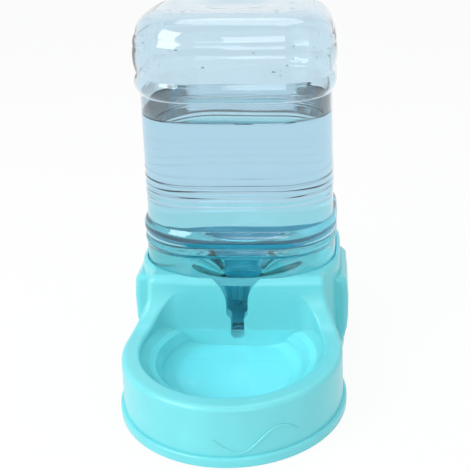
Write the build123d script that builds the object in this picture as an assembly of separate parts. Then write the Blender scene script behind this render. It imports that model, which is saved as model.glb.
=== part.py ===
from build123d import *
from math import cos, pi, radians, sin, sqrt, tan
import os

os.makedirs("parts", exist_ok=True)

# Gravity fed pet waterer: a clear bottle stands upside down in the hopper of a moulded bowl.
# All sizes are in millimetres. The bowl looks towards -Y and +Z is up.

# Layout: the bowl's centre, the reservoir's axis behind it and the outline on the floor
FOOT_RADIUS = 93.0
AXIS_GAP = 118.0
FLANGE_OUT = 2.6
FLANGE_HEIGHT = 8.0
FEET_STAND = 0.6

# Reservoir plan at its waist: a square with bowed sides and round corners
WAIST_HALF_X = 80.0
WAIST_HALF_Y = 69.0
SIDE_BOW = 5.0
CORNER_RADIUS = 48.0

# Reservoir heights above the floor, from the shoulder it stands on to its top
SHOULDER_Z = 78.0
LOW_BEAD_Z = 106.0
LOW_BEAD_HEIGHT = 7.0
RING_BEAD_Z = 115.5
RING_BEAD_HEIGHT = 13.5
FINE_RIB_Z = 150.5
FINE_RIB_PITCH = 7.5
FINE_RIB_HEIGHT = 3.0
FINE_RIB_COUNT = 4
TOP_BEAD_Z = 237.0
TOP_BEAD_HEIGHT = 15.5
BAND_Z = 254.5
BAND_SPLIT_Z = 275.5
DOME_Z = 284.5
TOP_Z = 303.6

# How far the reservoir's side stands out from the waist, and its wall
LOWER_WALL_OUT = 3.9
WAIST_FOOT_OUT = 1.6
BEAD_PROUD = 1.1
RIB_PROUD = 0.8
RING_PROUD = 2.4
TOP_BEAD_PROUD = 2.8
GROOVE_OUT = 2.2
BAND_OUT = 4.2
BAND_SPLIT_OUT = 3.0
DOME_OUT = 0.9
DOME_INSET = 17.0
CROWN_DROP = 1.6
CROWN_REACH = 9.0
SHOULDER_ROUND = 6.0
BOTTLE_WALL = 1.4
PUSH_UP_RADIUS = 34.0
PUSH_UP_DEPTH = 3.0

# Reservoir neck, which points down when the reservoir is in place
NECK_RADIUS = 20.8
NECK_WALL = 2.6
NECK_END_Z = 44.0
NECK_ROOT_Z = 66.0
CONE_RADIUS = 46.0

# Bowl moulding
WALL = 2.6
HOPPER_WALL = 3.1
SKIRT_TAPER = 1.4
HOPPER_RIM_Z = 90.0
NECK_FILLET = 16.0
RIM_Z = 50.0
BOWL_INNER_RADIUS = 74.0
BOWL_FLOOR_Z = 12.0
BOWL_FLOOR_RADIUS = 46.0
BOWL_COVE_Z = 24.0
BOWL_COVE_RADIUS = 58.0
WATERLINE_Z = 37.0
WATERLINE_RADIUS = 63.0
FLARE_END_RADIUS = 82.0
FLARE_END_Z = 57.0
FLARE_HOLLOW = 1.4
COVE_HOLLOW = 3.5
BOWL_CORNER_FILLET = 18.0
SWEEP_DOWN_RADIUS = 32.0
LIP_ROUND = 8.0
LIP_SET_BACK = 8.8
RIM_ROUND = 4.5
INNER_ROUND = 3.2
LEDGE_WIDTH = 9.0

# Outlet notch between the hopper and the bowl
NOTCH_FOOT_Z = 26.0
NOTCH_LOW_HALF = 5.6
NOTCH_MID_Z = 55.0
NOTCH_HALF = 9.2
NOTCH_THROAT_Z = 66.0
NOTCH_MOUTH_HALF = 24.0
NOTCH_EDGE_ROUND = 1.6

# Side grips on the hopper
GRIP_OUT = 95.4
GRIP_TOP_Z = 75.0
GRIP_CHAMFER = 4.0
GRIP_FOOT_Z = 9.0
GRIP_LENGTH = 70.0
GRIP_AHEAD = 43.0
GRIP_END_ROUND = 5.0

# Post in the hopper's floor that lifts the valve
WELL_ROUND = 4.0
POST_RADIUS = 6.0
POST_BASE_RADIUS = 9.0
POST_CHAMFER = 0.8
GUSSET_WIDTH = 2.0

# Rubber feet under the moulding
PAD_RADIUS = 7.5
PAD_THICKNESS = 2.6
PAD_EDGE_ROUND = 0.5
PAD_BOSS_RADIUS = 9.5
PAD_BOWL_REACH = 64.0
PAD_REAR_X = 56.0
PAD_REAR_Y = 40.0

# Valve cap
CAP_END_Z = 40.0
CAP_PLATE = 2.5
CAP_TOP_Z = 60.0
CAP_WALL = 2.4
GRIP_RIB_COUNT = 24
GRIP_RIB_RADIUS = 0.9
PORT_RADIUS = 9.0
PORT_SEAT_DROP = 0.3
CAP_EDGE = 0.8
GASKET_INSET = 0.2
GASKET_OVERHANG = 1.5
SPIDER_ARMS = 3
SPIDER_ARM_WIDTH = 3.0
HUB_RADIUS = 4.4

# Valve stem, its seal, spring and foot
STEM_RADIUS = 2.0
VALVE_LIFT = 4.0
HEAD_RADIUS = 12.0
HEAD_THICKNESS = 2.2
SEAL_THICKNESS = 1.6
SEAL_RADIUS = 11.5
STEM_TOP_BOSS = 2.4
FOOT_Z = 30.0
FOOT_FLANGE = 3.0
FOOT_FLANGE_RADIUS = 6.0
FOOT_SLEEVE = 2.6
SPRING_WIRE = 0.9
SPRING_COIL_RADIUS = 3.5
SPRING_TURNS = 2.6

# Clearances
BOTTLE_CLEARANCE = 1.0
SEAT_GAP = 0.3
THREAD_GAP = 0.3
STEM_GAP = 0.06
SPRING_GAP = 0.15
PAD_GAP = 0.05

# Places that follow from the sizes above
hopper_half_x = WAIST_HALF_X + LOWER_WALL_OUT + BOTTLE_CLEARANCE + HOPPER_WALL
hopper_half_y = WAIST_HALF_Y + LOWER_WALL_OUT + BOTTLE_CLEARANCE + HOPPER_WALL
hopper_corner = CORNER_RADIUS + LOWER_WALL_OUT + BOTTLE_CLEARANCE + HOPPER_WALL
tray_bottom_z = FEET_STAND
skirt_spread = (HOPPER_RIM_Z - tray_bottom_z) * tan(radians(SKIRT_TAPER))
bowl_skirt_radius = FOOT_RADIUS - FLANGE_OUT
total_length = FOOT_RADIUS + AXIS_GAP + hopper_half_y + skirt_spread + FLANGE_OUT
bowl_y = FOOT_RADIUS - total_length / 2
reservoir_y = bowl_y + AXIS_GAP
wall_y = reservoir_y - hopper_half_y
ledge_z = SHOULDER_Z - SEAT_GAP
post_top_z = FOOT_Z - SEAT_GAP
neck_bore = NECK_RADIUS - NECK_WALL
plate_top_z = CAP_END_Z + CAP_PLATE
cap_bore = NECK_RADIUS + THREAD_GAP
cap_radius = cap_bore + CAP_WALL
seal_z = plate_top_z + VALVE_LIFT
tool_reach = 2 * FOOT_RADIUS


def bowed_square(half_x, half_y, bow, corner):
    """A rectangle whose sides are shallow arcs, with round corners."""
    px = half_x - bow
    py = half_y - bow
    front = ThreePointArc((-px, -py), (0, -half_y), (px, -py))
    right = ThreePointArc((px, -py), (half_x, 0), (px, py))
    rear = ThreePointArc((px, py), (0, half_y), (-px, py))
    left = ThreePointArc((-px, py), (-half_x, 0), (-px, -py))
    face = make_face([front, right, rear, left])
    return fillet(face.vertices(), corner)


def ring_on_waist(profile):
    """Carries a profile round the reservoir's waist; its X is outwards from the waist."""
    waist = bowed_square(WAIST_HALF_X, WAIST_HALF_Y, SIDE_BOW, CORNER_RADIUS)
    path = waist.face().outer_wire()
    tangent = path % 0
    outwards = tangent.cross(Vector(0, 0, 1))
    plane = Plane(origin=path @ 0, x_dir=outwards, z_dir=-tangent)
    return sweep(plane * profile, path=path)


def core_in_waist(low_z, high_z, inset):
    """The straight core that fills the inside of a ring carried round the waist."""
    waist = bowed_square(WAIST_HALF_X, WAIST_HALF_Y, SIDE_BOW, CORNER_RADIUS)
    face = offset(waist, amount=-inset)
    return Pos(0, 0, low_z) * extrude(face, high_z - low_z)


def waist_out(z):
    """The waist leans in a little towards the top."""
    foot_z = RING_BEAD_Z + RING_BEAD_HEIGHT
    return WAIST_FOOT_OUT * (TOP_BEAD_Z - z) / (TOP_BEAD_Z - foot_z)


def bump(low_out, low_z, high_out, high_z, proud):
    """A rounded bead on the side between two heights."""
    middle_out = (low_out + high_out) / 2 + proud
    return ThreePointArc((low_out, low_z), (middle_out, (low_z + high_z) / 2), (high_out, high_z))


def side_profile(ring_depth):
    """The reservoir's side from the shoulder up to the top, closed on its inner side."""
    corner = LOWER_WALL_OUT - SHOULDER_ROUND
    lean = SHOULDER_ROUND * (1 - cos(pi / 4))
    low_bead_top = LOW_BEAD_Z + LOW_BEAD_HEIGHT
    ring_top = RING_BEAD_Z + RING_BEAD_HEIGHT
    bead_top = TOP_BEAD_Z + TOP_BEAD_HEIGHT
    lines = [
        Line((-ring_depth, SHOULDER_Z), (corner, SHOULDER_Z)),
        ThreePointArc(
            (corner, SHOULDER_Z),
            (LOWER_WALL_OUT - lean, SHOULDER_Z + lean),
            (LOWER_WALL_OUT, SHOULDER_Z + SHOULDER_ROUND),
        ),
        Line((LOWER_WALL_OUT, SHOULDER_Z + SHOULDER_ROUND), (LOWER_WALL_OUT, LOW_BEAD_Z)),
        bump(LOWER_WALL_OUT, LOW_BEAD_Z, LOWER_WALL_OUT, low_bead_top, BEAD_PROUD),
        Line((LOWER_WALL_OUT, low_bead_top), (LOWER_WALL_OUT, RING_BEAD_Z)),
        bump(LOWER_WALL_OUT, RING_BEAD_Z, WAIST_FOOT_OUT, ring_top, RING_PROUD),
    ]
    out, z = WAIST_FOOT_OUT, ring_top
    for rib in range(FINE_RIB_COUNT):
        rib_z = FINE_RIB_Z + rib * FINE_RIB_PITCH
        rib_top = rib_z + FINE_RIB_HEIGHT
        lines.append(Line((out, z), (waist_out(rib_z), rib_z)))
        lines.append(bump(waist_out(rib_z), rib_z, waist_out(rib_top), rib_top, RIB_PROUD))
        out, z = waist_out(rib_top), rib_top
    band_foot = BAND_Z + 2 * (BAND_OUT - GROOVE_OUT)
    band_middle = (band_foot + BAND_SPLIT_Z) / 2
    upper_middle = (BAND_SPLIT_Z + DOME_Z) / 2
    dome_middle = (-DOME_INSET / 4, DOME_Z + 0.58 * (TOP_Z - DOME_Z))
    crown = (-DOME_INSET, TOP_Z - CROWN_DROP)
    crown_middle = (-DOME_INSET - CROWN_REACH / 2, TOP_Z - CROWN_DROP / 4)
    lines += [
        Line((out, z), (0, TOP_BEAD_Z)),
        bump(0, TOP_BEAD_Z, GROOVE_OUT, bead_top, TOP_BEAD_PROUD),
        Line((GROOVE_OUT, bead_top), (GROOVE_OUT, BAND_Z)),
        ThreePointArc((GROOVE_OUT, BAND_Z), (BAND_OUT, band_middle), (BAND_SPLIT_OUT, BAND_SPLIT_Z)),
        ThreePointArc((BAND_SPLIT_OUT, BAND_SPLIT_Z), (BAND_SPLIT_OUT, upper_middle), (DOME_OUT, DOME_Z)),
        ThreePointArc((DOME_OUT, DOME_Z), dome_middle, crown),
        ThreePointArc(crown, crown_middle, (-DOME_INSET - CROWN_REACH, TOP_Z)),
        Line((-DOME_INSET - CROWN_REACH, TOP_Z), (-ring_depth, TOP_Z)),
        Line((-ring_depth, TOP_Z), (-ring_depth, SHOULDER_Z)),
    ]
    return make_face(lines)


def neck_form(inset):
    """The cone under the shoulder and the round neck; a positive inset gives its inside."""
    throat = NECK_RADIUS - (NECK_WALL if inset else 0)
    outline = Polyline(
        (0, SHOULDER_Z + inset),
        (CONE_RADIUS, SHOULDER_Z + inset),
        (throat + 3, NECK_ROOT_Z + inset),
        (throat, NECK_ROOT_Z - 3 + inset),
        (throat, NECK_END_Z - inset),
        (0, NECK_END_Z - inset),
        close=True,
    )
    return revolve(Plane.XZ * make_face(outline), Axis.Z)


def push_up(drop):
    """The shallow dish in the reservoir's top."""
    edge = TOP_Z - drop
    rise = PUSH_UP_DEPTH
    arc = ThreePointArc(
        (0, edge - rise),
        (PUSH_UP_RADIUS * 0.6, edge - rise * 0.6),
        (PUSH_UP_RADIUS, edge + 0.4),
    )
    face = make_face([
        arc,
        Line((PUSH_UP_RADIUS, edge + 0.4), (PUSH_UP_RADIUS, edge + 3 * rise)),
        Line((PUSH_UP_RADIUS, edge + 3 * rise), (0, edge + 3 * rise)),
        Line((0, edge + 3 * rise), (0, edge - rise)),
    ])
    return revolve(Plane.XZ * face, Axis.Z)


def make_bottle():
    """The clear blown reservoir: one outer form less the same form inside its wall."""
    ring_depth = 0.75 * CORNER_RADIUS
    core_inset = 0.6 * CORNER_RADIUS
    profile = side_profile(ring_depth)
    outside = ring_on_waist(profile)
    outside += core_in_waist(SHOULDER_Z, TOP_Z, core_inset)
    outside += neck_form(0)
    outside -= push_up(0)
    inside = ring_on_waist(offset(profile, amount=-BOTTLE_WALL))
    inside += core_in_waist(SHOULDER_Z + BOTTLE_WALL, TOP_Z - BOTTLE_WALL, core_inset)
    inside += neck_form(BOTTLE_WALL)
    inside -= push_up(BOTTLE_WALL)
    return Pos(0, reservoir_y) * (outside - inside)


def floor_plan(grow):
    """The moulding's outline: the bowl's circle and the hopper's bowed square, joined at a soft neck."""
    radius = bowl_skirt_radius + grow
    half_x = hopper_half_x + skirt_spread + grow
    half_y = hopper_half_y + skirt_spread + grow
    hopper = Pos(0, reservoir_y) * bowed_square(half_x, half_y, SIDE_BOW, hopper_corner + grow)
    joined = Pos(0, bowl_y) * Circle(radius) + hopper
    meets = [
        v for v in joined.face().vertices()
        if abs((Vector(v) - Vector(0, bowl_y)).length - radius) < 0.01 and v.Y > bowl_y + WALL
    ]
    return fillet(meets, NECK_FILLET - grow)


def rim_cutter(drop):
    """What is cut away above the bowl's rim and the side walls that sweep up to the hopper."""
    lip_y = wall_y + LIP_SET_BACK
    lip = LIP_ROUND - drop
    lip_z = HOPPER_RIM_Z - LIP_ROUND
    face_y = lip_y - lip
    sweep_radius = SWEEP_DOWN_RADIUS + drop
    centre_y = lip_y - LIP_ROUND - SWEEP_DOWN_RADIUS
    diagonal = sin(pi / 4)
    rise_z = RIM_Z + SWEEP_DOWN_RADIUS
    top = HOPPER_RIM_Z + tool_reach
    front = bowl_y - tool_reach
    outline = [
        Line((front, RIM_Z - drop), (centre_y, RIM_Z - drop)),
        ThreePointArc(
            (centre_y, RIM_Z - drop),
            (centre_y + sweep_radius * diagonal, rise_z - sweep_radius * diagonal),
            (centre_y + sweep_radius, rise_z),
        ),
        ThreePointArc(
            (face_y, lip_z),
            (lip_y - lip * diagonal, lip_z + lip * diagonal),
            (lip_y, lip_z + lip),
        ),
        Line((lip_y, lip_z + lip), (reservoir_y + tool_reach, lip_z + lip)),
        Line((reservoir_y + tool_reach, lip_z + lip), (reservoir_y + tool_reach, top)),
        Line((reservoir_y + tool_reach, top), (front, top)),
        Line((front, top), (front, RIM_Z - drop)),
    ]
    face = Plane.YZ * make_face(outline)
    return extrude(face, tool_reach, both=True)


def skirt_form(inset, low_z):
    """The tapered outer form of bowl and hopper, swept down at the front."""
    lean_in = (HOPPER_RIM_Z - low_z) * tan(radians(SKIRT_TAPER))
    foot = Pos(0, 0, low_z) * floor_plan(-inset)
    rim = Pos(0, 0, HOPPER_RIM_Z) * floor_plan(-inset - lean_in)
    body = loft([foot.face(), rim.face()], ruled=True)
    return body - rim_cutter(inset)


def bowl_cavity(grow):
    """The inside of the bowl, closed at the back by the hopper's front wall."""
    floor_z = BOWL_FLOOR_Z - grow
    top = HOPPER_RIM_Z + WALL * 2
    cove = (BOWL_COVE_RADIUS - COVE_HOLLOW + grow * 0.7, BOWL_FLOOR_Z + COVE_HOLLOW - grow * 0.7)
    flare = (
        (WATERLINE_RADIUS + FLARE_END_RADIUS) / 2 + FLARE_HOLLOW + grow,
        (WATERLINE_Z + FLARE_END_Z) / 2 - FLARE_HOLLOW,
    )
    profile = make_face([
        Line((0, floor_z), (BOWL_FLOOR_RADIUS, floor_z)),
        ThreePointArc((BOWL_FLOOR_RADIUS, floor_z), cove, (BOWL_COVE_RADIUS + grow, BOWL_COVE_Z)),
        Line((BOWL_COVE_RADIUS + grow, BOWL_COVE_Z), (WATERLINE_RADIUS + grow, WATERLINE_Z)),
        ThreePointArc((WATERLINE_RADIUS + grow, WATERLINE_Z), flare, (FLARE_END_RADIUS + grow, FLARE_END_Z)),
        Line((FLARE_END_RADIUS + grow, FLARE_END_Z), (FLARE_END_RADIUS + grow, top)),
        Line((FLARE_END_RADIUS + grow, top), (0, top)),
        Line((0, top), (0, floor_z)),
    ])
    dish = Pos(0, bowl_y) * revolve(Plane.XZ * profile, Axis.Z)
    back = wall_y + grow - bowl_y
    plan = Circle(BOWL_INNER_RADIUS + grow) & Pos(0, back - tool_reach) * Rectangle(2 * tool_reach, 2 * tool_reach)
    plan = fillet(plan.face().vertices(), BOWL_CORNER_FILLET + grow)
    keep = Pos(0, bowl_y, 0) * extrude(plan, HOPPER_RIM_Z + tool_reach)
    return dish & keep


def hopper_cavity(grow):
    """The hopper's mouth down to the ledge and the narrower well under it."""
    seat_x = hopper_half_x - HOPPER_WALL
    seat_y = hopper_half_y - HOPPER_WALL
    seat_corner = hopper_corner - HOPPER_WALL
    well_x = seat_x - LEDGE_WIDTH + grow
    well_y = seat_y - LEDGE_WIDTH + grow
    well_corner = seat_corner - LEDGE_WIDTH + grow
    floor_z = BOWL_FLOOR_Z - grow
    mouth = bowed_square(seat_x + grow, seat_y + grow, SIDE_BOW, seat_corner + grow)
    mouth = Pos(0, 0, ledge_z - grow) * extrude(mouth, HOPPER_RIM_Z - ledge_z + 2 * WALL)
    well = bowed_square(well_x, well_y, SIDE_BOW, well_corner)
    well = Pos(0, 0, floor_z) * extrude(well, ledge_z - floor_z)
    well = fillet(well.edges().group_by(Axis.Z)[0], WELL_ROUND)
    return Pos(0, reservoir_y) * (mouth + well)


def notch_cutter(grow):
    """The outlet between hopper and bowl: a keyhole slot that flares into the rim."""
    low = NOTCH_LOW_HALF + grow
    half = NOTCH_HALF + grow
    mouth = NOTCH_MOUTH_HALF + grow
    top = HOPPER_RIM_Z + WALL
    foot = NOTCH_FOOT_Z + NOTCH_LOW_HALF
    neck_z = NOTCH_MID_Z - 4
    flare = ((NOTCH_THROAT_Z + HOPPER_RIM_Z) / 2 + 3.5, half + 0.33 * (mouth - half))
    right = [
        ThreePointArc((0, foot - low), (low * sin(pi / 4), foot - low * cos(pi / 4)), (low, foot)),
        Line((low, foot), (low, neck_z)),
        Line((low, neck_z), (half, NOTCH_MID_Z)),
        Line((half, NOTCH_MID_Z), (half, NOTCH_THROAT_Z)),
        ThreePointArc((half, NOTCH_THROAT_Z), (flare[1], flare[0]), (mouth, HOPPER_RIM_Z)),
        Line((mouth, HOPPER_RIM_Z), (mouth, top)),
        Line((mouth, top), (0, top)),
        Line((0, top), (0, foot - low)),
    ]
    side = make_face(right)
    face = side + mirror(side, Plane.YZ)
    well_front = reservoir_y - hopper_half_y + HOPPER_WALL + LEDGE_WIDTH
    depth = well_front - wall_y + 2 * WALL
    return Pos(0, wall_y - WALL, 0) * extrude(Plane.XZ * face, -depth)


def grip_form(inset):
    """A hand grip that swells out of the hopper's right flank."""
    out = GRIP_OUT - inset
    top = GRIP_TOP_Z - inset
    foot_x = GRIP_OUT - 5 - inset
    root = hopper_half_x - 3 * WALL
    outline = Polyline(
        (root, GRIP_FOOT_Z - 4),
        (foot_x, GRIP_FOOT_Z - 4),
        (out - 0.9, GRIP_FOOT_Z + 15),
        (out, GRIP_FOOT_Z + 25),
        (out, top - 5 * GRIP_CHAMFER),
        (out - 1.7, top - GRIP_CHAMFER),
        (out - 1.7 - GRIP_CHAMFER, top),
        (root, top),
        close=True,
    )
    length = GRIP_LENGTH - 2 * inset
    grip = Pos(0, reservoir_y - GRIP_AHEAD + inset, 0) * extrude(Plane.XZ * make_face(outline), -length)
    front_and_rear = grip.faces().sort_by(Axis.Y)
    ends = [e for f in (front_and_rear[0], front_and_rear[-1]) for e in f.edges() if (e @ 0.5).X > root + 1]
    ends = [e for e in ends if (e @ 0.5).Z > GRIP_FOOT_Z - 3]
    return fillet(ends, GRIP_END_ROUND - inset)


def rim_edges(form):
    """The one smooth edge that runs along the bowl's rim, up the sides and round the hopper."""
    edges = []
    for edge in form.edges():
        box = edge.bounding_box()
        across = edge.geom_type == GeomType.LINE and box.size.Y < 0.01
        if box.min.Z > RIM_Z - 1 and not across:
            edges.append(edge)
    return edges


def inner_rim_edges(tray):
    """The bowl's inner edge, which climbs with the sides and crosses the hopper's front."""
    edges = []
    for edge in tray.edges():
        box = edge.bounding_box()
        middle = edge @ 0.5
        reach = (Vector(middle.X, middle.Y, 0) - Vector(0, bowl_y, 0)).length
        inside = reach < BOWL_INNER_RADIUS + 0.5 and middle.Y < wall_y + 0.5
        level = box.max.Z < RIM_Z + 0.01 and edge.geom_type == GeomType.CIRCLE
        climbs = box.max.Z > RIM_Z + 5 and box.max.X - box.min.X > 0.5
        if inside and box.min.Z > RIM_Z - 1 and (level or climbs):
            edges.append(edge)
    return edges


def make_tray():
    """Bowl, hopper, foot flange and grips as one hollow moulding that is open below."""
    skirt = skirt_form(0, tray_bottom_z)
    dish = bowl_cavity(0)
    outside = fillet(rim_edges(skirt), RIM_ROUND) - dish
    outside = fillet(inner_rim_edges(outside), INNER_ROUND)
    flange = Pos(0, 0, tray_bottom_z) * extrude(floor_plan(FLANGE_OUT), FLANGE_HEIGHT) - dish
    flange = fillet(flange.edges().group_by(Axis.Z)[-1], FLANGE_OUT * 0.8)
    grip = grip_form(0)
    outside += [flange, grip, mirror(grip, Plane.YZ)]
    inner_grip = grip_form(WALL)
    hollow = skirt_form(WALL, tray_bottom_z - 1)
    hollow += [inner_grip, mirror(inner_grip, Plane.YZ)]
    hollow -= [bowl_cavity(WALL), hopper_cavity(WALL), notch_cutter(WALL)]
    hollow -= pad_bosses()
    tray = outside - hollow
    tray -= [hopper_cavity(0), notch_cutter(0)]
    tray += make_post()
    recesses = [Pos(x, y, 0) * extrude(Circle(PAD_RADIUS + PAD_GAP), PAD_THICKNESS) for x, y in pad_places()]
    return tray - recesses


def pad_places():
    """Two feet under the bowl's front and two under the hopper's rear."""
    front = PAD_BOWL_REACH * sin(pi / 4)
    rear_y = reservoir_y + PAD_REAR_Y
    return [
        (-front, bowl_y - front),
        (front, bowl_y - front),
        (-PAD_REAR_X, rear_y),
        (PAD_REAR_X, rear_y),
    ]


def pad_bosses():
    """Round pillars under the floor that carry the rubber feet."""
    return [Pos(x, y, 0) * extrude(Circle(PAD_BOSS_RADIUS), HOPPER_RIM_Z) for x, y in pad_places()]


def make_post():
    """The post that lifts the valve, with four gussets at its root."""
    root_z = BOWL_FLOOR_Z - WALL / 2
    post = Pos(0, 0, root_z) * extrude(Circle(POST_RADIUS), post_top_z - root_z)
    post = chamfer(post.edges().group_by(Axis.Z)[-1], POST_CHAMFER)
    reach = POST_BASE_RADIUS - POST_RADIUS
    gusset = Polyline(
        (POST_RADIUS - reach, root_z),
        (POST_BASE_RADIUS + reach, root_z),
        (POST_BASE_RADIUS + reach, BOWL_FLOOR_Z + WALL),
        (POST_RADIUS - reach, post_top_z - 2 * WALL),
        close=True,
    )
    blade = Pos(0, GUSSET_WIDTH / 2, 0) * extrude(Plane.XZ * make_face(gusset), GUSSET_WIDTH)
    post += [Rot(0, 0, 45 + turn) * blade for turn in (0, 90, 180, 270)]
    return Pos(0, reservoir_y, 0) * post


def make_feet():
    """Four rubber pads in their recesses, a little proud of the moulding."""
    pads = []
    for x, y in pad_places():
        pad = extrude(Circle(PAD_RADIUS), PAD_THICKNESS)
        pad = fillet(pad.edges().group_by(Axis.Z)[0], PAD_EDGE_ROUND)
        pads.append(Pos(x, y, 0) * pad)
    return Compound(children=pads)


def make_cap():
    """Screw cap: ribbed skirt, end plate with the port and a three-armed guide for the stem."""
    skirt = Pos(0, 0, CAP_END_Z) * extrude(Circle(cap_radius), CAP_TOP_Z - CAP_END_Z)
    skirt = chamfer(skirt.edges().group_by(Axis.Z)[0], CAP_EDGE)
    rib = Pos(cap_radius, 0, CAP_END_Z + CAP_WALL) * extrude(
        Circle(GRIP_RIB_RADIUS), CAP_TOP_Z - CAP_END_Z - 2 * CAP_WALL
    )
    cap = skirt + PolarLocations(0, GRIP_RIB_COUNT) * rib
    cap -= Pos(0, 0, plate_top_z) * extrude(Circle(cap_bore), CAP_TOP_Z)
    cap -= Pos(0, 0, CAP_END_Z - 1) * extrude(Circle(PORT_RADIUS), CAP_TOP_Z)
    arm = Pos(PORT_RADIUS / 2 + 0.5, 0) * Rectangle(PORT_RADIUS + 1, SPIDER_ARM_WIDTH)
    spider = Circle(HUB_RADIUS) + PolarLocations(0, SPIDER_ARMS) * arm
    cap += Pos(0, 0, CAP_END_Z) * extrude(spider, CAP_PLATE - PORT_SEAT_DROP)
    cap -= extrude(Circle(STEM_RADIUS + STEM_GAP), CAP_TOP_Z)
    return Pos(0, reservoir_y, 0) * cap


def make_gasket():
    """Flat ring between the cap's end plate and the neck's lip."""
    ring = Circle(NECK_RADIUS - GASKET_INSET) - Circle(neck_bore - GASKET_OVERHANG)
    return Pos(0, reservoir_y, plate_top_z) * extrude(ring, NECK_END_Z - plate_top_z)


def make_stem():
    """Valve rod with the round head that closes the port."""
    head_z = seal_z + SEAL_THICKNESS
    rod_z = FOOT_Z + FOOT_FLANGE / 2
    rod = Pos(0, 0, rod_z) * extrude(Circle(STEM_RADIUS), head_z + HEAD_THICKNESS - rod_z)
    rod = chamfer(rod.edges().group_by(Axis.Z)[0], STEM_RADIUS * 0.3)
    head = extrude(Circle(HEAD_RADIUS), HEAD_THICKNESS)
    head = fillet(head.edges().group_by(Axis.Z)[-1], HEAD_THICKNESS * 0.4)
    boss = extrude(Circle(HUB_RADIUS), HEAD_THICKNESS + STEM_TOP_BOSS)
    boss = fillet(boss.edges().group_by(Axis.Z)[-1], STEM_TOP_BOSS * 0.5)
    return Pos(0, reservoir_y, 0) * (rod + Pos(0, 0, head_z) * (head + boss))


def make_seal():
    """Rubber washer under the valve's head."""
    ring = Circle(SEAL_RADIUS) - Circle(STEM_RADIUS)
    return Pos(0, reservoir_y, seal_z) * extrude(ring, SEAL_THICKNESS)


def make_foot():
    """Collar on the rod's lower end: it rests over the post and carries the spring."""
    flange = extrude(Circle(FOOT_FLANGE_RADIUS), FOOT_FLANGE)
    flange = fillet(flange.edges().group_by(Axis.Z)[0], FOOT_FLANGE / 4)
    sleeve = extrude(Circle(FOOT_SLEEVE), FOOT_FLANGE + FOOT_SLEEVE)
    bore = Pos(0, 0, FOOT_FLANGE / 2) * extrude(Circle(STEM_RADIUS), 2 * FOOT_FLANGE)
    return Pos(0, reservoir_y, FOOT_Z) * (flange + sleeve - bore)


def make_spring():
    """Coil between the collar and the cap's guide."""
    low = FOOT_Z + FOOT_FLANGE + SPRING_GAP + SPRING_WIRE / 2
    high = CAP_END_Z - SPRING_GAP - SPRING_WIRE / 2
    height = high - low
    path = Helix(height / SPRING_TURNS, height, SPRING_COIL_RADIUS)
    section = Plane(path @ 0, z_dir=path % 0) * Circle(SPRING_WIRE / 2)
    return Pos(0, reservoir_y, low) * sweep(section, path=path, is_frenet=True)


def save(shape, name):
    """Writes one piece to its own file."""
    export_step(shape, os.path.join("parts", name + ".step"))


save(make_tray(), "base_tray")
save(make_feet(), "rubber_feet")
save(make_bottle(), "reservoir_bottle")
save(make_cap(), "valve_cap")
save(make_gasket(), "cap_gasket")
save(make_stem(), "valve_stem")
save(make_seal(), "valve_seal")
save(make_foot(), "stem_foot")
save(make_spring(), "valve_spring")
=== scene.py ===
"""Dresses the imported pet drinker: plastics, clear bottle, water, drops and a plain studio."""

import math

import bpy
import numpy as np
from bpy.props import FloatProperty, FloatVectorProperty, IntProperty, PointerProperty
from mathutils import Matrix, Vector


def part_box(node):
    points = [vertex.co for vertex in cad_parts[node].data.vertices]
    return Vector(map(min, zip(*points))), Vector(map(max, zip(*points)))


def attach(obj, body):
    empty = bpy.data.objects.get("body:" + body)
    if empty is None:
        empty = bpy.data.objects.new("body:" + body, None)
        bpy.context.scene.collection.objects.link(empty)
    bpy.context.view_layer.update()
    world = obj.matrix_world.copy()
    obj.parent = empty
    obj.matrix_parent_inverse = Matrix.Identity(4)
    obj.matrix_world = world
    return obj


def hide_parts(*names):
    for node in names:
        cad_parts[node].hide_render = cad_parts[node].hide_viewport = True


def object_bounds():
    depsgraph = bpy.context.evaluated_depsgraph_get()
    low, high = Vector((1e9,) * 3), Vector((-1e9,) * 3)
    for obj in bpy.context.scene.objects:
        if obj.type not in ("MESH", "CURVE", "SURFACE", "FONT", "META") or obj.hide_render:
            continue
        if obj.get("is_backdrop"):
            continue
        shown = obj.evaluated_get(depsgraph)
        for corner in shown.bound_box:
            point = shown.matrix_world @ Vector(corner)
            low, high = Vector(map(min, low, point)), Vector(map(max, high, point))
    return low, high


bl_info = {
    "name": "Gravity pet drinker finish",
    "version": (1, 0, 0),
    "blender": (4, 5, 0),
    "location": "View3D > Sidebar > Drinker",
    "description": "Plastics, clear ribbed bottle, water and studio for the packed pet drinker",
    "category": "Object",
}

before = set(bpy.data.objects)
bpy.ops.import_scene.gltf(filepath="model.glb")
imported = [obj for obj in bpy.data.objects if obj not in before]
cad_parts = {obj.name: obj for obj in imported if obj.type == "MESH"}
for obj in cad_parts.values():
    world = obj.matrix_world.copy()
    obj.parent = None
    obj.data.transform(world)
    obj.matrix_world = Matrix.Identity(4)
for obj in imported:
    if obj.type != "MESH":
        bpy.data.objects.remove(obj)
cad_low, cad_high = (np.array(corner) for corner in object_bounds())
bottle_low, bottle_high = (np.array(corner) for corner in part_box("reservoir_bottle"))
RESERVOIR_Y = float((bottle_low[1] + bottle_high[1]) / 2)

# Lengths are in metres, and those of the solids are as in the part. Layout
FOOT_RADIUS = 0.093
HOPPER_HALF_Y = 0.077
BOWL_Y = float(cad_low[1] + FOOT_RADIUS)
WALL_Y = RESERVOIR_Y - HOPPER_HALF_Y

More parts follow.
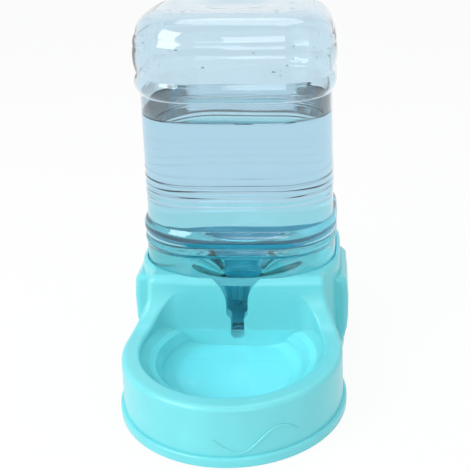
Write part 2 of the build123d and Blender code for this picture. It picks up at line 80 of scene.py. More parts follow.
# Bottle: plan at the waist, wall, neck and top
WAIST_HALF_X = 0.080
WAIST_HALF_Y = 0.069
SIDE_BOW = 0.005
CORNER_RADIUS = 0.048
BOTTLE_WALL = 0.0014
NECK_RADIUS = 0.0208
NECK_WALL = 0.0026
NECK_END_Z = 0.044
NECK_TOP_Z = 0.063
CONE_FOOT_Z = 0.066
CONE_FOOT_OUT = 0.003
CONE_RADIUS = 0.046
SHOULDER_Z = 0.078
TOP_Z = 0.3036
PUSH_UP_RADIUS = 0.034
PUSH_UP_DEPTH = 0.003

# Bottle: heights of its beads and bands
LOW_BEAD_Z = 0.106
LOW_BEAD_HEIGHT = 0.007
RING_BEAD_Z = 0.1155
RING_BEAD_HEIGHT = 0.0135
FINE_RIB_Z = 0.1505
FINE_RIB_PITCH = 0.0075
FINE_RIB_HEIGHT = 0.003
FINE_RIB_COUNT = 4
TOP_BEAD_Z = 0.237
TOP_BEAD_HEIGHT = 0.0155
BAND_Z = 0.2545
BAND_SPLIT_Z = 0.2755
DOME_Z = 0.2845

# Bottle: how far its side stands out from the waist
LOWER_WALL_OUT = 0.0039
WAIST_FOOT_OUT = 0.0016
BEAD_PROUD = 0.0011
RING_PROUD = 0.0024
RIB_PROUD = 0.00038
TOP_BEAD_PROUD = 0.0028
GROOVE_OUT = 0.0022
BAND_OUT = 0.0042
BAND_SPLIT_OUT = 0.0030
DOME_OUT = 0.0009
DOME_INSET = 0.017
DOME_FULLNESS = 0.58
CROWN_DROP = 0.0016
CROWN_REACH = 0.009
CROWN_OUT = -DOME_INSET - CROWN_REACH
SHOULDER_ROUND = 0.006

# Bottle: spacing of its rings, then how uneven its blown walls are, as amount and phase, and where
LINE_STEP = 0.00025
RING_STEP = 0.0036
OUTER_WAVE = (0.00012, 0.4)
INNER_WAVE = (0.00016, 2.1)
UNEVEN_FOOT_Z = 0.085
UNEVEN_TOP_Z = 0.296
UNEVEN_FADE = 0.02

# Bowl's inside, each as distance from its centre and height, and its plan
DISH_MIDDLE = (0.040, 0.01205)
DISH_FLOOR_EDGE = (0.046, 0.01205)
DISH_COVE = (0.0545, 0.0155)
DISH_COVE_END = (0.058, 0.024)
DISH_FLARE_START = (0.063, 0.037)
DISH_FLARE = (0.0739, 0.0456)
DISH_FLARE_END = (0.082, 0.057)
BOWL_RADIUS = 0.074
BOWL_CORNER = 0.018

# Hopper's well and notch, and the drape between hopper and bowl
WELL_OUT = -0.0041
WELL_FLOOR = 0.0121
WELL_ROUND = 0.003
NOTCH_HALF = 0.0056
NOTCH_FOOT = 0.0316
NOTCH_DEPTH = 0.0121
NOTCH_LAP = 0.0004
SWEEP_RADIUS = 0.032
SWEEP_END_Z = 0.082
SWEEP_SET_BACK = 0.0008
DRAPE_TOP_Z = 0.0876
DRAPE_DEPTH = 0.0024
DRAPE_HALF = 0.050
DRAPE_FADE = 0.006

# Water: its lap into a wall, its end in the neck, its curved edge, and the heights over which the painted
# tray tint on bottle and water fades in
WATER_IN_WALL = 0.0001
WATER_END_Z = 0.0432
BOTTLE_EDGE = 0.009
BOWL_EDGE = 0.008
BOWL_CLIMB = 0.8
EDGE_SPREAD = 1.6
EDGE_FALL = 2.4
POLE_RADIUS = 0.002
WATER_IOR = 1.333
PLASTIC_IOR = 1.50
PAINTED_TINT_LOW = 0.098
PAINTED_TINT_HIGH = 0.124
FLAT_END = 0.03

# Drops: the share on the bottle's top, their sizes, their heights, and how deep each sits in the wall
DROPS_ON_TOP = 0.4
DROP_LEAST = 0.0005
DROP_SPREAD = 0.0013
DROP_INSET = 0.82
DROP_LOW_Z = 0.257
DROP_HIGH_Z = 0.284
DROP_SINK = 0.3

# Rubber pieces
RUBBER_GRAIN = {"mottle": 0.1, "bump": 0.1, "grain": 1500.0}
SEAL_COLOUR = (0.07, 0.075, 0.08)

# Wave line on the bowl's front, with its turn, spread and the skirt's taper in degrees
SKIRT_RADIUS = 0.0904
SKIRT_FOOT_Z = 0.0006
SKIRT_TAPER = 1.4
WAVE_TURN = 17
WAVE_SPREAD = 22
WAVE_Z = 0.0205
WAVE_RISE = 0.0082
WAVE_LEAN = 0.002
WAVE_RADIUS = 0.0009

# Studio: floor and world, lamps as name, place, aim, width, height and watts, and the camera with its
# angles in degrees and its lens in millimetres
FLOOR_HALF = 3.0
FLOOR_Z = -0.0002
FLOOR_GLOW = 0.92
WORLD_STRENGTH = 0.56
LAMPS = (
    ("key_lamp", (-0.95, -0.75, 0.95), (0, 0, 0.12), 0.9, 0.9, 11.5),
    ("front_lamp", (0.25, -1.40, 0.75), (0, -0.05, 0.06), 0.9, 0.6, 3.5),
    ("fill_lamp", (1.05, -0.45, 0.75), (0, 0, 0.12), 0.5, 1.2, 0.6),
    ("top_lamp", (0.1, 0.25, 1.35), (0, 0.05, 0.1), 1.0, 0.8, 4.0),
)
CAMERA_PLACE = (0.0765, -0.6602, 0.4112)
CAMERA_YAW = -3.633
CAMERA_PITCH = 23.443
CAMERA_ROLL = -1.096
CAMERA_LENS = 66.42
CAMERA_SHIFT = -0.0894


class DrinkerSettings(bpy.types.PropertyGroup):
    """Sizes and colours that a user would change."""

    water_level: FloatProperty(
        name="Bottle water level", description="Height of the water in the bottle above the floor",
        default=0.2195, min=0.12, max=0.27, unit="LENGTH")
    bowl_level: FloatProperty(
        name="Bowl water level", description="Height of the water in the bowl above the floor",
        default=0.0396, min=0.02, max=0.045, unit="LENGTH")
    meniscus: FloatProperty(
        name="Meniscus", description="How far the water climbs at the wall",
        default=0.0016, min=0.0, max=0.004, unit="LENGTH")
    tray_colour: FloatVectorProperty(
        name="Tray colour", description="Colour of the moulded tray",
        default=(0.175, 0.70, 0.745), subtype="COLOR", min=0.0, max=1.0)
    bottle_colour: FloatVectorProperty(
        name="Bottle colour", description="Tint of the clear plastic",
        default=(0.745, 0.865, 0.928), subtype="COLOR", min=0.0, max=1.0)
    water_colour: FloatVectorProperty(
        name="Water colour", description="Tint of the water in the bottle",
        default=(0.745, 0.885, 0.935), subtype="COLOR", min=0.0, max=1.0)
    drop_count: IntProperty(
        name="Drops", description="Number of drops inside the bottle above the water",
        default=110, min=0, max=400)


def settings():
    """The scene's own sizes and colours."""
    return bpy.context.scene.drinker


# Outlines and profiles

def bowed_outline(half_x, half_y, bow, corner, side_steps=7, corner_steps=27):
    """Points and outward normals of a rectangle with bowed sides and round corners.

    The parameter is the normal's own angle. On each side the point is the side arc's centre plus its
    radius along the normal, and between the two tangent angles it is the corner circle's centre plus the
    corner radius along the normal. One quarter is worked out and the other three are its mirror images.
    """
    px, py = half_x - bow, half_y - bow
    side_r = (py * py + bow * bow) / (2 * bow)
    rear_r = (px * px + bow * bow) / (2 * bow)
    side_c = np.array([half_x - side_r, 0.0])
    rear_c = np.array([0.0, half_y - rear_r])
    reach_a, reach_b = side_r - corner, rear_r - corner
    gap = rear_c - side_c
    span = np.hypot(*gap)
    along = (reach_a ** 2 - reach_b ** 2 + span ** 2) / (2 * span)
    across = math.sqrt(reach_a ** 2 - along ** 2)
    unit = gap / span
    turned = np.array([unit[1], -unit[0]])
    both = [side_c + along * unit + sign * across * turned for sign in (1, -1)]
    corner_c = max(both, key=lambda c: c.sum())
    low = math.atan2(corner_c[1] - side_c[1], corner_c[0] - side_c[0])
    high = math.atan2(corner_c[1] - rear_c[1], corner_c[0] - rear_c[0])
    angles = np.concatenate([
        np.linspace(0, low, side_steps, endpoint=False),
        np.linspace(low, high, corner_steps, endpoint=False),
        np.linspace(high, math.pi / 2, side_steps, endpoint=False)])
    normal = np.stack([np.cos(angles), np.sin(angles)], 1)
    on_side = (angles < low)[:, None]
    on_rear = (angles >= high)[:, None]
    centre = np.where(on_side, side_c, np.where(on_rear, rear_c, corner_c))
    radius = np.where(on_side, side_r, np.where(on_rear, rear_r, corner))
    quarter = centre + radius * normal
    mirrored = np.concatenate([quarter, np.array([[0.0, half_y]])])
    mirrored_n = np.concatenate([normal, np.array([[0.0, 1.0]])])
    flip_x, flip_y = np.array([-1.0, 1.0]), np.array([1.0, -1.0])
    second = mirrored[:0:-1] * flip_x
    second_n = mirrored_n[:0:-1] * flip_x
    third, third_n = -mirrored[:-1], -mirrored_n[:-1]
    fourth = mirrored[:0:-1] * flip_y
    fourth_n = mirrored_n[:0:-1] * flip_y
    points = np.concatenate([quarter, second, third, fourth])
    normals = np.concatenate([normal, second_n, third_n, fourth_n])
    return points, normals


def arc(start, middle, end, steps):
    """Points on the circle through three points, from the first to the last."""
    (ax, ay), (bx, by), (cx, cy) = start, middle, end
    d = 2 * (ax * (by - cy) + bx * (cy - ay) + cx * (ay - by))
    ux = ((ax**2 + ay**2) * (by - cy) + (bx**2 + by**2) * (cy - ay) + (cx**2 + cy**2) * (ay - by)) / d
    uy = ((ax**2 + ay**2) * (cx - bx) + (bx**2 + by**2) * (ax - cx) + (cx**2 + cy**2) * (bx - ax)) / d
    radius = math.hypot(ax - ux, ay - uy)
    a0 = math.atan2(ay - uy, ax - ux)
    a1 = math.atan2(cy - uy, cx - ux)
    am = math.atan2(by - uy, bx - ux)
    sweep = (a1 - a0) % (2 * math.pi)
    if (am - a0) % (2 * math.pi) > sweep:
        sweep -= 2 * math.pi
    angles = a0 + np.linspace(0, 1, steps) * sweep
    return np.stack([ux + radius * np.cos(angles), uy + radius * np.sin(angles)], 1)


def straight(start, end, steps):
    """Evenly spaced points on a line."""
    t = np.linspace(0, 1, steps)[:, None]
    return np.array(start) * (1 - t) + np.array(end) * t


def evened(points, spacing):
    """The same line with points at an even distance along it."""
    step = np.hypot(*np.diff(points, axis=0).T)
    keep = np.concatenate([[True], step > 1e-9])
    points = points[keep]
    length = np.concatenate([[0], np.cumsum(np.hypot(*np.diff(points, axis=0).T))])
    count = max(int(round(length[-1] / spacing)), 2)
    at = np.linspace(0, length[-1], count + 1)
    return np.stack([np.interp(at, length, points[:, 0]), np.interp(at, length, points[:, 1])], 1)


def graded(points, spacing, turn):
    """The same line with fewer points, which stand closer together where it turns."""
    edge = np.diff(points, axis=0)
    length = np.hypot(*edge.T)
    heading = np.unwrap(np.arctan2(edge[:, 1], edge[:, 0]))
    bend = np.abs(np.diff(heading, prepend=heading[0]))
    measure = np.concatenate([[0], np.cumsum(length / spacing + bend / turn)])
    at = np.linspace(0, measure[-1], int(round(measure[-1])) + 1)
    return np.stack([np.interp(at, measure, points[:, 0]), np.interp(at, measure, points[:, 1])], 1)


def softened(points, passes):
    """Repeated averaging with both neighbours; the ends stay."""
    points = points.copy()
    for _ in range(passes):
        points[1:-1] = 0.25 * points[:-2] + 0.5 * points[1:-1] + 0.25 * points[2:]
    return points


def bump(low_out, low_z, high_out, high_z, proud, steps=14):
    """A rounded bead between two heights, as in the part's own profile."""
    middle = ((low_out + high_out) / 2 + proud, (low_z + high_z) / 2)
    return arc((low_out, low_z), middle, (high_out, high_z), steps)


def side_line():
    """The bottle's side from its shoulder up: how far it stands out from the waist, and its height."""
    lower = LOWER_WALL_OUT
    lean = SHOULDER_ROUND * (1 - math.cos(math.pi / 4))
    wall_foot = SHOULDER_Z + SHOULDER_ROUND
    low_bead_top = LOW_BEAD_Z + LOW_BEAD_HEIGHT
    ring_top = RING_BEAD_Z + RING_BEAD_HEIGHT
    bead_top = TOP_BEAD_Z + TOP_BEAD_HEIGHT
    band_foot = BAND_Z + 2 * (BAND_OUT - GROOVE_OUT)

    def waist(z):
        return WAIST_FOOT_OUT * (TOP_BEAD_Z - z) / (TOP_BEAD_Z - ring_top)

    parts = [
        arc((lower - SHOULDER_ROUND, SHOULDER_Z), (lower - lean, SHOULDER_Z + lean), (lower, wall_foot), 12),
        straight((lower, wall_foot), (lower, LOW_BEAD_Z), 24),
        bump(lower, LOW_BEAD_Z, lower, low_bead_top, BEAD_PROUD),
        straight((lower, low_bead_top), (lower, RING_BEAD_Z), 5),
        bump(lower, RING_BEAD_Z, WAIST_FOOT_OUT, ring_top, RING_PROUD, 24)]
    z = ring_top
    for rib in range(FINE_RIB_COUNT):
        rib_z = FINE_RIB_Z + FINE_RIB_PITCH * rib
        rib_top = rib_z + FINE_RIB_HEIGHT
        parts.append(straight((waist(z), z), (waist(rib_z), rib_z), 20))
        parts.append(bump(waist(rib_z), rib_z, waist(rib_top), rib_top, RIB_PROUD))
        z = rib_top
    split = (BAND_SPLIT_OUT, BAND_SPLIT_Z)
    dome_side = (-DOME_INSET / 4, DOME_Z + DOME_FULLNESS * (TOP_Z - DOME_Z))
    crown = (-DOME_INSET, TOP_Z - CROWN_DROP)
    crown_side = (-DOME_INSET - CROWN_REACH / 2, TOP_Z - CROWN_DROP / 4)
    parts += [
        straight((waist(z), z), (0, TOP_BEAD_Z), 60),
        bump(0, TOP_BEAD_Z, GROOVE_OUT, bead_top, TOP_BEAD_PROUD, 28),
        straight((GROOVE_OUT, bead_top), (GROOVE_OUT, BAND_Z), 5),
        arc((GROOVE_OUT, BAND_Z), (BAND_OUT, (band_foot + BAND_SPLIT_Z) / 2), split, 30),
        arc(split, (BAND_SPLIT_OUT, (BAND_SPLIT_Z + DOME_Z) / 2), (DOME_OUT, DOME_Z), 16),
        arc((DOME_OUT, DOME_Z), dome_side, crown, 36),
        arc(crown, crown_side, (CROWN_OUT, TOP_Z), 12)]
    return np.concatenate(parts)


def parallel(line, distance):
    """The line moved sideways to its left by a distance, by its own normals."""
    slope = np.gradient(line, axis=0)
    slope /= np.maximum(np.hypot(*slope.T), 1e-9)[:, None]
    return line + distance * np.stack([-slope[:, 1], slope[:, 0]], 1)


def dish_line():
    """The bowl's inside from its floor up: distance from the centre, and height."""
    parts = [
        straight(DISH_MIDDLE, DISH_FLOOR_EDGE, 4),
        arc(DISH_FLOOR_EDGE, DISH_COVE, DISH_COVE_END, 14),
        straight(DISH_COVE_END, DISH_FLARE_START, 10),
        arc(DISH_FLARE_START, DISH_FLARE, DISH_FLARE_END, 60)]
    return evened(np.concatenate(parts), 0.0006)


def d_reach(angle):
    """Distance from the bowl's centre to its wall: circle, straight back and the round corner between them.

    On a corner it is the far root of the distance at which a ray meets the corner's circle.
    """
    back = WALL_Y - BOWL_Y
    lift = np.sin(angle)
    side = np.abs(np.cos(angle))
    centre_y = back - BOWL_CORNER
    centre_x = math.sqrt((BOWL_RADIUS - BOWL_CORNER) ** 2 - centre_y**2)
    along = side * centre_x + lift * centre_y
    square = np.maximum(along**2 - centre_x**2 - centre_y**2 + BOWL_CORNER**2, 0)
    corner = along + np.sqrt(square)
    steep = np.arctan2(lift, side)
    straight_back = back / np.maximum(lift, 1e-3)
    reach = np.where(steep > math.atan2(back, centre_x), straight_back, corner)
    return np.where(steep < math.atan2(centre_y, centre_x), BOWL_RADIUS, reach)


# Mesh building

def put_mesh(name, vertices, faces):
    """Makes one smooth mesh object at the origin from whole arrays."""
    mesh = bpy.data.meshes.new(name)
    mesh.from_pydata(vertices.tolist(), [], faces)
    mesh.polygons.foreach_set("use_smooth", np.ones(len(mesh.polygons), dtype=bool))
    mesh.update()
    obj = bpy.data.objects.new(name, mesh)
    bpy.context.scene.collection.objects.link(obj)
    return obj


def ringed(name, rings, bottom, top):
    """A closed skin over a stack of rings, each joined to the next, with a point at both ends.

    The rings run from the bottom point to the top one and turn anticlockwise seen from above.
    """
    m, n, _ = rings.shape
    vertices = np.concatenate([rings.reshape(-1, 3), [bottom], [top]])
    j = np.arange(n)
    after = (j + 1) % n
    row = np.arange(m - 1)[:, None] * n
    quads = np.stack([row + j, row + after, row + n + after, row + n + j], -1).reshape(-1, 4)
    low, high = m * n, m * n + 1
    last = (m - 1) * n
    start = np.stack([after, j, np.full(n, low)], 1)
    end = np.stack([last + j, last + after, np.full(n, high)], 1)
    return put_mesh(name, vertices, quads.tolist() + start.tolist() + end.tolist())


def tube(name, path, normal, radius, sides=12):
    """A round section carried along a path; it ends in points."""
    tangent = np.gradient(path, axis=0)
    tangent /= np.linalg.norm(tangent, axis=1)[:, None]
    side = np.cross(tangent, normal)
    side /= np.linalg.norm(side, axis=1)[:, None]
    lift = np.cross(side, tangent)
    angle = np.linspace(0, 2 * math.pi, sides, endpoint=False)
    round_part = np.cos(angle)[None, :, None] * side[:, None] + np.sin(angle)[None, :, None] * lift[:, None]
    rings = path[:, None] + radius[:, None, None] * round_part
    return ringed(name, rings, path[0] - 1e-4 * tangent[0], path[-1] + 1e-4 * tangent[-1])


def stacked(outward, height, circle, blend, scale=None):
    """Rings round the reservoir's axis.

    Each ring is the waist outline moved out along its normals, or drawn towards the axis by a scale, and
    then blended towards a circle: blend 0 is the outline and blend 1 the circle.
    """
    points, normals = bowed_outline(WAIST_HALF_X, WAIST_HALF_Y, SIDE_BOW, CORNER_RADIUS)
    scale = np.ones_like(outward) if scale is None else scale
    unit = points / np.hypot(*points.T)[:, None]
    shaped = (points[None] + outward[:, None, None] * normals[None]) * scale[:, None, None]
    rounded = circle[:, None, None] * unit[None]
    flat = shaped * (1 - blend)[:, None, None] + rounded * blend[:, None, None]
    rings = np.empty((len(outward), len(points), 3))
    rings[..., :2] = flat
    rings[..., 1] += RESERVOIR_Y
    rings[..., 2] = height[:, None]
    return rings


def foot_of_bottle(throat, rise, shoulder_out, neck_end):
    """Neck, cone and flat shoulder, from the neck's lip outwards, as stacked rings."""
    neck_steps, cone_steps, flat_steps = 24, 18, 13
    neck_z = np.linspace(neck_end, NECK_TOP_Z + rise, neck_steps)
    cone_r = np.concatenate([[throat], np.linspace(throat + CONE_FOOT_OUT, CONE_RADIUS, cone_steps)])
    cone_z = np.concatenate([
        [NECK_TOP_Z + rise], np.linspace(CONE_FOOT_Z + rise, SHOULDER_Z + rise, cone_steps)])
    neck = np.stack([np.full(neck_steps, throat), neck_z], 1)
    bare = np.concatenate([neck, np.stack([cone_r, cone_z], 1)])
    line = graded(softened(evened(bare, 2 * LINE_STEP), 8), 0.004, 0.12)
    round_part = stacked(np.zeros(len(line)), line[:, 1], line[:, 0], np.ones(len(line)))
    blend = np.linspace(1, 0, flat_steps + 1)[1:]
    flat = stacked(
        np.full(flat_steps, shoulder_out), np.full(flat_steps, SHOULDER_Z + rise),
        np.full(flat_steps, CONE_RADIUS), blend)
    return np.concatenate([round_part, flat])


def dome_of_bottle(outward, height):
    """The top inside the dome's edge: the outline shrinks to the axis and sinks in a shallow dish."""
    steps = 18
    rings = flat_rings(outward, height, steps)
    off = np.hypot(rings[..., 0], rings[..., 1] - RESERVOIR_Y)
    sink = np.clip(1 - (off / PUSH_UP_RADIUS) ** 2, 0, 1)
    rings[..., 2] -= PUSH_UP_DEPTH * sink * sink * (3 - 2 * sink)
    return rings


def flat_rings(outward, height, steps):
    """Rings at one height that shrink evenly from the moved outline towards the axis."""
    scale = np.linspace(1, FLAT_END, steps + 1)[1:]
    return stacked(np.full(steps, outward), np.full(steps, height), np.zeros(steps), np.zeros(steps), scale)


def waviness(rings, amount, phase):
    """Blown walls are never true: two slow waves move each ring point in or out."""
    x, y, z = rings[..., 0], rings[..., 1] - RESERVOIR_Y, rings[..., 2]
    around = np.arctan2(y, x)
    wave = np.sin(3 * around + 41 * z + phase) + 0.6 * np.sin(7 * around - 63 * z + 2.3 * phase)
    inside = np.clip((z - UNEVEN_FOOT_Z) / UNEVEN_FADE, 0, 1)
    inside = inside * np.clip((UNEVEN_TOP_Z - z) / UNEVEN_FADE, 0, 1)
    outwards = np.stack([np.cos(around), np.sin(around)], -1)
    moved = rings.copy()
    moved[..., :2] += outwards * (amount * wave * inside)[..., None]
    return moved


def outer_line():
    """The bottle's outer side, with its bends softened."""
    return softened(evened(side_line(), LINE_STEP), 12)


def inner_line(wall):
    """The bottle's inner side at a wall's depth, softer than the outer one."""
    return graded(softened(evened(parallel(outer_line(), wall), LINE_STEP), 16), RING_STEP, 0.14)


def water_edge(wall, level, climb, width, steps):
    """The water's curved edge from the wall inwards: how far out it is, and how high."""
    drop = np.linspace(0, 1, steps)
    return wall - width * drop**EDGE_SPREAD, level + climb * (1 - drop) ** EDGE_FALL


def side_rings(line, wave):
    """Rings up the bottle's side, uneven by an amount and a phase."""
    zero = np.zeros(len(line))
    return waviness(stacked(line[:, 0], line[:, 1], zero, zero), *wave)


def drape_shift(place):
    """How far the hopper's front moves forward, so that it runs up to the rim without a bend.

    Between the bend and the sweep's end it is what the sweep stands behind the wall, which is its radius
    less the rise of its circle, and above that the last value fades out along a smooth step.
    """
    x, y, z = place.T
    below = np.clip(SWEEP_END_Z - z, 0, SWEEP_RADIUS)
    bulge = SWEEP_SET_BACK - SWEEP_RADIUS + np.sqrt(SWEEP_RADIUS**2 - below**2)
    fade = np.clip((z - SWEEP_END_Z) / (DRAPE_TOP_Z - SWEEP_END_Z), 0, 1)
    fade = 1 - fade * fade * (3 - 2 * fade)
    near = np.clip((DRAPE_DEPTH - np.abs(y - WALL_Y)) / DRAPE_DEPTH, 0, 1)
    near = np.clip(2 * near, 0, 1)
    across = np.clip((DRAPE_HALF + DRAPE_FADE - np.abs(x)) / DRAPE_FADE, 0, 1)
    return -np.maximum(bulge, 0) * fade * near * across


def reshaped(name, source, shift):
    """A copy of a CAD node whose points move along Y by a function of their place.

    Its normals are turned by the inverse transpose of the map's Jacobian, which is worked out from small
    differences: only the middle row of the map differs from the identity.
    """
    mesh = source.data.copy()
    mesh.name = name
    count = len(mesh.vertices)
    place = np.empty(count * 3)
    mesh.vertices.foreach_get("co", place)
    place = place.reshape(-1, 3)
    corner = np.empty(len(mesh.loops) * 3)
    mesh.corner_normals.foreach_get("vector", corner)
    corner = corner.reshape(-1, 3)
    of_corner = np.empty(len(mesh.loops), dtype=int)
    mesh.loops.foreach_get("vertex_index", of_corner)
    step = 1e-5
    base = shift(place)
    slope = np.stack([(shift(place + step * axis) - base) / step for axis in np.eye(3)], 1)[of_corner]
    lift = corner[:, 1] / (1 + slope[:, 1])
    turned = corner - slope * lift[:, None]
    turned[:, 1] = lift
    turned /= np.maximum(np.linalg.norm(turned, axis=1), 1e-9)[:, None]
    place[:, 1] += base
    mesh.vertices.foreach_set("co", place.ravel())
    mesh.update()
    mesh.normals_split_custom_set(turned.tolist())
    obj = bpy.data.objects.new(name, mesh)
    bpy.context.scene.collection.objects.link(obj)
    return obj


# Materials

def new_material(name):
    """A material with one Principled shader on its output."""
    material = bpy.data.materials.new(name)
    material.use_nodes = True
    nodes = material.node_tree.nodes
    nodes.clear()
    output = nodes.new("ShaderNodeOutputMaterial")
    shader = nodes.new("ShaderNodeBsdfPrincipled")
    material.node_tree.links.new(shader.outputs["BSDF"], output.inputs["Surface"])
    return material, shader


def moulded_grain():
    """Group: slow colour mottling and fine surface unevenness of moulded plastic."""
    name = "Moulded grain"
    if name in bpy.data.node_groups:
        return bpy.data.node_groups[name]
    group = bpy.data.node_groups.new(name, "ShaderNodeTree")
    for label, kind, default in (
        ("Colour", "NodeSocketColor", (0.5, 0.5, 0.5, 1)), ("Mottle", "NodeSocketFloat", 0.05),
        ("Roughness", "NodeSocketFloat", 0.3), ("Mottle Scale", "NodeSocketFloat", 30.0),
        ("Grain Scale", "NodeSocketFloat", 900.0),
    ):
        socket = group.interface.new_socket(label, in_out="INPUT", socket_type=kind)
        socket.default_value = default
    group.interface.new_socket("Colour", in_out="OUTPUT", socket_type="NodeSocketColor")
    group.interface.new_socket("Roughness", in_out="OUTPUT", socket_type="NodeSocketFloat")
    group.interface.new_socket("Height", in_out="OUTPUT", socket_type="NodeSocketFloat")
    nodes, links = group.nodes, group.links
    inside = nodes.new("NodeGroupInput")
    out = nodes.new("NodeGroupOutput")
    place = nodes.new("ShaderNodeTexCoord")
    slow = nodes.new("ShaderNodeTexNoise")
    slow.inputs["Detail"].default_value = 3
    links.new(place.outputs["Object"], slow.inputs["Vector"])
    links.new(inside.outputs["Mottle Scale"], slow.inputs["Scale"])
    spread = nodes.new("ShaderNodeMapRange")
    spread.inputs["From Min"].default_value = 0.3
    spread.inputs["From Max"].default_value = 0.7
    spread.inputs["To Min"].default_value = -1.0
    links.new(slow.outputs["Fac"], spread.inputs["Value"])
    amount = nodes.new("ShaderNodeMath")
    amount.operation = "MULTIPLY"
    links.new(spread.outputs["Result"], amount.inputs[0])
    links.new(inside.outputs["Mottle"], amount.inputs[1])
    one = nodes.new("ShaderNodeMath")
    one.operation = "ADD"
    one.inputs[1].default_value = 1.0
    links.new(amount.outputs[0], one.inputs[0])
    tint = nodes.new("ShaderNodeVectorMath")
    tint.operation = "SCALE"
    links.new(inside.outputs["Colour"], tint.inputs[0])
    links.new(one.outputs[0], tint.inputs["Scale"])
    links.new(tint.outputs["Vector"], out.inputs["Colour"])
    rough = nodes.new("ShaderNodeMath")
    rough.operation = "MULTIPLY_ADD"
    rough.inputs[1].default_value = 0.5
    links.new(amount.outputs[0], rough.inputs[0])
    links.new(inside.outputs["Roughness"], rough.inputs[2])
    links.new(rough.outputs[0], out.inputs["Roughness"])
    fine = nodes.new("ShaderNodeTexNoise")
    fine.inputs["Detail"].default_value = 2
    links.new(place.outputs["Object"], fine.inputs["Vector"])
    links.new(inside.outputs["Grain Scale"], fine.inputs["Scale"])
    links.new(fine.outputs["Fac"], out.inputs["Height"])
    return group


def grained(name, colour, roughness, mottle=0.04, bump=0.02, grain=900.0, subsurface=0.0, coat=0.0):
    """A moulded plastic or rubber with the shared grain."""
    material, shader = new_material(name)
    nodes, links = material.node_tree.nodes, material.node_tree.links
    grain_node = nodes.new("ShaderNodeGroup")
    grain_node.node_tree = moulded_grain()
    grain_node.inputs["Colour"].default_value = (*colour, 1)
    grain_node.inputs["Mottle"].default_value = mottle
    grain_node.inputs["Roughness"].default_value = roughness
    grain_node.inputs["Grain Scale"].default_value = grain
    links.new(grain_node.outputs["Colour"], shader.inputs["Base Color"])
    links.new(grain_node.outputs["Roughness"], shader.inputs["Roughness"])
    relief = nodes.new("ShaderNodeBump")
    relief.inputs["Strength"].default_value = bump
    relief.inputs["Distance"].default_value = 0.0004
    links.new(grain_node.outputs["Height"], relief.inputs["Height"])
    links.new(relief.outputs["Normal"], shader.inputs["Normal"])
    shader.inputs["Subsurface Weight"].default_value = subsurface
    shader.inputs["Subsurface Radius"].default_value = (0.5, 1.0, 1.0)
    shader.inputs["Subsurface Scale"].default_value = 0.004
    shader.inputs["Coat Weight"].default_value = coat
    shader.inputs["Coat Roughness"].default_value = 0.12
    return material


def clear(name, colour, ior, roughness=0.0, painted_tray_tint=None):
    """Clear plastic or water, which also lets light through to what it covers.

    With a foot colour, the colour goes over to it from the waist down; that foot colour is painted: the
    turquoise tray as it shows through the bottle and its water, not the clear plastic's own colour.
    """
    material, shader = new_material(name)
    nodes, links = material.node_tree.nodes, material.node_tree.links
    shader.inputs["Base Color"].default_value = (*colour, 1)
    shader.inputs["Transmission Weight"].default_value = 1.0
    shader.inputs["IOR"].default_value = ior
    shader.inputs["Roughness"].default_value = roughness
    # Painted reflection: the teal mixed in low down stands for the tray seen through the clear plastic or
    # water
    if painted_tray_tint is not None:
        place = nodes.new("ShaderNodeTexCoord")
        height = nodes.new("ShaderNodeSeparateXYZ")
        links.new(place.outputs["Object"], height.inputs["Vector"])
        fade = nodes.new("ShaderNodeMapRange")
        fade.interpolation_type = "SMOOTHSTEP"
        fade.inputs["From Min"].default_value = PAINTED_TINT_LOW
        fade.inputs["From Max"].default_value = PAINTED_TINT_HIGH
        links.new(height.outputs["Z"], fade.inputs["Value"])
        tint = nodes.new("ShaderNodeMix")
        tint.data_type = "RGBA"
        tint.inputs["A"].default_value = (*painted_tray_tint, 1)
        tint.inputs["B"].default_value = (*colour, 1)
        links.new(fade.outputs["Result"], tint.inputs["Factor"])
        links.new(tint.outputs["Result"], shader.inputs["Base Color"])
    through = nodes.new("ShaderNodeBsdfTransparent")
    through.inputs["Color"].default_value = (*colour, 1)
    path = nodes.new("ShaderNodeLightPath")
    mix = nodes.new("ShaderNodeMixShader")
    links.new(path.outputs["Is Shadow Ray"], mix.inputs["Fac"])
    links.new(shader.outputs["BSDF"], mix.inputs[1])
    links.new(through.outputs["BSDF"], mix.inputs[2])
    output = next(n for n in nodes if n.type == "OUTPUT_MATERIAL")
    links.new(mix.outputs["Shader"], output.inputs["Surface"])
    return material


def dress(node, material):
    """Gives a CAD node one material."""
    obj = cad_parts[node]
    obj.data.materials.clear()
    obj.data.materials.append(material)


# Studio

def area_lamp(name, place, aim, size_x, size_y, power):
    """A rectangular lamp at a place, turned to what it lights."""
    light = bpy.data.lights.new(name, "AREA")
    light.shape = "RECTANGLE"
    light.size, light.size_y = size_x, size_y
    light.energy = power
    lamp = bpy.data.objects.new(name, light)
    bpy.context.scene.collection.objects.link(lamp)
    back = np.array(place, float) - np.array(aim, float)
    back /= np.linalg.norm(back)
    right = np.cross([0, 0, 1.0], back)
    right /= np.linalg.norm(right)
    up = np.cross(back, right)
    lamp.matrix_world = Matrix([
        [right[0], up[0], back[0], place[0]], [right[1], up[1], back[1], place[1]],
        [right[2], up[2], back[2], place[2]], [0, 0, 0, 1]])
    return lamp


def seen_directly(nodes, links):
    """One for rays that come from the eye, straight, mirrored or through glass, and zero for the others."""
    path = nodes.new("ShaderNodeLightPath")
    value = path.outputs["Is Camera Ray"]
    for kind in ("Is Transmission Ray", "Is Glossy Ray"):
        either = nodes.new("ShaderNodeMath")
        either.operation = "MAXIMUM"
        links.new(value, either.inputs[0])
        links.new(path.outputs[kind], either.inputs[1])
        value = either.outputs[0]
    return value


# Operators

